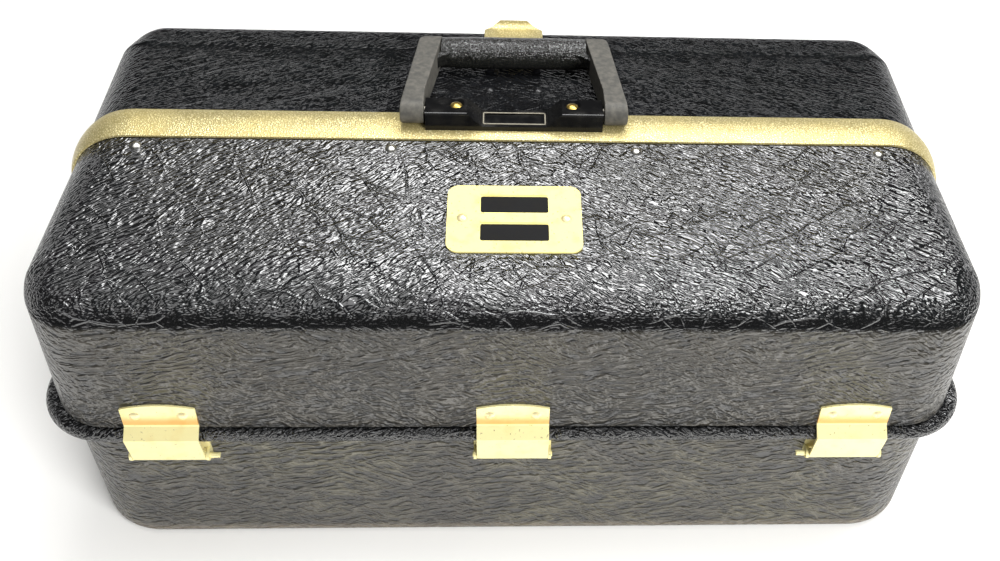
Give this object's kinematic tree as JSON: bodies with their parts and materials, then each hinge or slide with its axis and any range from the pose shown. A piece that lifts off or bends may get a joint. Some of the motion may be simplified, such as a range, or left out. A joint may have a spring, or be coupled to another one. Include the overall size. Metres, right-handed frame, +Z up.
{
  "type": "tackle box",
  "caption": "Cantilever tackle box: a grained plastic tub, two lids that open to the front and rear, stepped inner trays on arms, a folding carrying handle and a gold ridge strip.",
  "frame": {"origin": "centre of the footprint on the surface that the tub stands on", "axes": "+X along the length of the box to its right end, +Y to the rear, +Z up"},
  "size_m": [0.5034, 0.2724, 0.2247],
  "materials": {
    "tub_shell": "grained, dark warm grey",
    "lid_shell": "grained, near black with a soft sheen",
    "gold_strip": "gold, finely pebbled",
    "gold_hinge": "gold plated, bright",
    "gold_latch": "gold, bright",
    "bare_steel": "plain, dull",
    "rivet": "bright",
    "brass_rivet": "worn",
    "nameplate_frame": "gold, satin",
    "nameplate_window": "plain, blank",
    "handle_base": "glossy black",
    "handle_frame": "dark grey",
    "handle_grip": "grained black",
    "tray": "plain grey"
  },
  "bodies": {
    "base": {"tub": "tub_shell", "tray_brackets": "bare_steel", "bracket_rivets": "rivet", "hinge_bracket_rivets": "rivet", "front_hinge_pins": "gold_hinge", "rear_hinge_pins": "gold_hinge", "front_left_hinge_bracket": "gold_hinge", "front_middle_hinge_bracket": "gold_hinge", "front_right_hinge_bracket": "gold_hinge", "rear_left_hinge_bracket": "gold_hinge", "rear_middle_hinge_bracket": "gold_hinge", "rear_right_hinge_bracket": "gold_hinge"},
    "front_lid": {"front_lid": "lid_shell", "closing_angle": "bare_steel", "closing_rivets": "rivet", "nameplate": "nameplate_frame", "nameplate_windows": "nameplate_window", "nameplate_rivets": "rivet", "front_leaf_rivets": "rivet", "front_left_hinge_leaf": "gold_hinge", "front_middle_hinge_leaf": "gold_hinge", "front_right_hinge_leaf": "gold_hinge"},
    "rear_lid": {"rear_lid": "lid_shell", "ridge_strip": "gold_strip", "handle_base": "handle_base", "handle_base_rivets": "brass_rivet", "handle_pins": "bare_steel", "latch_base": "gold_latch", "latch_pin": "bare_steel", "latch_rivets": "rivet", "latch_bar_guides": "bare_steel", "rear_leaf_rivets": "rivet", "rear_left_hinge_leaf": "gold_hinge", "rear_middle_hinge_leaf": "gold_hinge", "rear_right_hinge_leaf": "gold_hinge"},
    "handle": {"handle_frame": "handle_frame", "handle_grip": "handle_grip"},
    "latch_lever": {"latch_lever": "gold_latch"},
    "latch_bar": {"latch_bar": "bare_steel"},
    "front_outer_arms": {"front_outer_tray_arms": "bare_steel"},
    "front_inner_arms": {"front_inner_tray_arms": "bare_steel"},
    "front_tray_1": {"front_tray_1": "tray"},
    "front_tray_2": {"front_tray_2": "tray"},
    "front_tray_3": {"front_tray_3": "tray"},
    "rear_outer_arms": {"rear_outer_tray_arms": "bare_steel"},
    "rear_inner_arms": {"rear_inner_tray_arms": "bare_steel"},
    "rear_tray_1": {"rear_tray_1": "tray"},
    "rear_tray_2": {"rear_tray_2": "tray"},
    "rear_tray_3": {"rear_tray_3": "tray"}
  },
  "joints": [
    {"name": "front_lid_hinge", "type": "hinge", "parent": "base", "child": "front_lid", "pos_m": [0, -0.1303, 0.085], "axis": [1, 0, 0], "range_deg": [0, 110]},
    {"name": "rear_lid_hinge", "type": "hinge", "parent": "base", "child": "rear_lid", "pos_m": [0, 0.1303, 0.085], "axis": [-1, 0, 0], "range_deg": [0, 110]},
    {"name": "handle_fold", "type": "hinge", "parent": "rear_lid", "child": "handle", "pos_m": [0, 0.0015, 0.2178], "axis": [1, 0, 0], "range_deg": [0, 96.6]},
    {"name": "latch_lever_turn", "type": "hinge", "parent": "rear_lid", "child": "latch_lever", "pos_m": [0, 0.09552, 0.2011], "axis": [1, 0, 0], "range_deg": [0, 50]},
    {"name": "latch_bar_slide", "type": "slide", "parent": "rear_lid", "child": "latch_bar", "axis": [0, 0.9925, -0.1219], "range_m": [0, 0.0078]},
    {"name": "front_outer_arms_turn", "type": "hinge", "parent": "base", "child": "front_outer_arms", "pos_m": [0, -0.104, 0.09675], "axis": [1, 0, 0], "range_deg": [0, 74.2]},
    {"name": "front_inner_arms_turn", "type": "hinge", "parent": "base", "child": "front_inner_arms", "pos_m": [0, -0.068, 0.09675], "axis": [1, 0, 0], "range_deg": [0, 74.2]},
    {"name": "front_tray_1_turn", "type": "hinge", "parent": "front_outer_arms", "child": "front_tray_1", "pos_m": [0, -0.087, 0.11925], "axis": [1, 0, 0], "range_deg": [-74.2, 0]},
    {"name": "front_tray_2_turn", "type": "hinge", "parent": "front_outer_arms", "child": "front_tray_2", "pos_m": [0, -0.07, 0.14175], "axis": [1, 0, 0], "range_deg": [-74.2, 0]},
    {"name": "front_tray_3_turn", "type": "hinge", "parent": "front_outer_arms", "child": "front_tray_3", "pos_m": [0, -0.053, 0.16425], "axis": [1, 0, 0], "range_deg": [-74.2, 0]},
    {"name": "rear_outer_arms_turn", "type": "hinge", "parent": "base", "child": "rear_outer_arms", "pos_m": [0, 0.104, 0.09675], "axis": [-1, 0, 0], "range_deg": [0, 74.2]},
    {"name": "rear_inner_arms_turn", "type": "hinge", "parent": "base", "child": "rear_inner_arms", "pos_m": [0, 0.068, 0.09675], "axis": [-1, 0, 0], "range_deg": [0, 74.2]},
    {"name": "rear_tray_1_turn", "type": "hinge", "parent": "rear_outer_arms", "child": "rear_tray_1", "pos_m": [0, 0.087, 0.11925], "axis": [-1, 0, 0], "range_deg": [-74.2, 0]},
    {"name": "rear_tray_2_turn", "type": "hinge", "parent": "rear_outer_arms", "child": "rear_tray_2", "pos_m": [0, 0.07, 0.14175], "axis": [-1, 0, 0], "range_deg": [-74.2, 0]},
    {"name": "rear_tray_3_turn", "type": "hinge", "parent": "rear_outer_arms", "child": "rear_tray_3", "pos_m": [0, 0.053, 0.16425], "axis": [-1, 0, 0], "range_deg": [-74.2, 0]}
  ],
  "couplings": [
    {"joint": "latch_bar_slide", "follows": "latch_lever_turn", "m_per_rad": 0.00893},
    {"joint": "front_outer_arms_turn", "follows": "front_lid_hinge", "ratio": 0.6741},
    {"joint": "front_inner_arms_turn", "follows": "front_lid_hinge", "ratio": 0.6741},
    {"joint": "front_tray_1_turn", "follows": "front_lid_hinge", "ratio": -0.6741},
    {"joint": "front_tray_2_turn", "follows": "front_lid_hinge", "ratio": -0.6741},
    {"joint": "front_tray_3_turn", "follows": "front_lid_hinge", "ratio": -0.6741},
    {"joint": "rear_outer_arms_turn", "follows": "rear_lid_hinge", "ratio": 0.6741},
    {"joint": "rear_inner_arms_turn", "follows": "rear_lid_hinge", "ratio": 0.6741},
    {"joint": "rear_tray_1_turn", "follows": "rear_lid_hinge", "ratio": -0.6741},
    {"joint": "rear_tray_2_turn", "follows": "rear_lid_hinge", "ratio": -0.6741},
    {"joint": "rear_tray_3_turn", "follows": "rear_lid_hinge", "ratio": -0.6741}
  ]
}
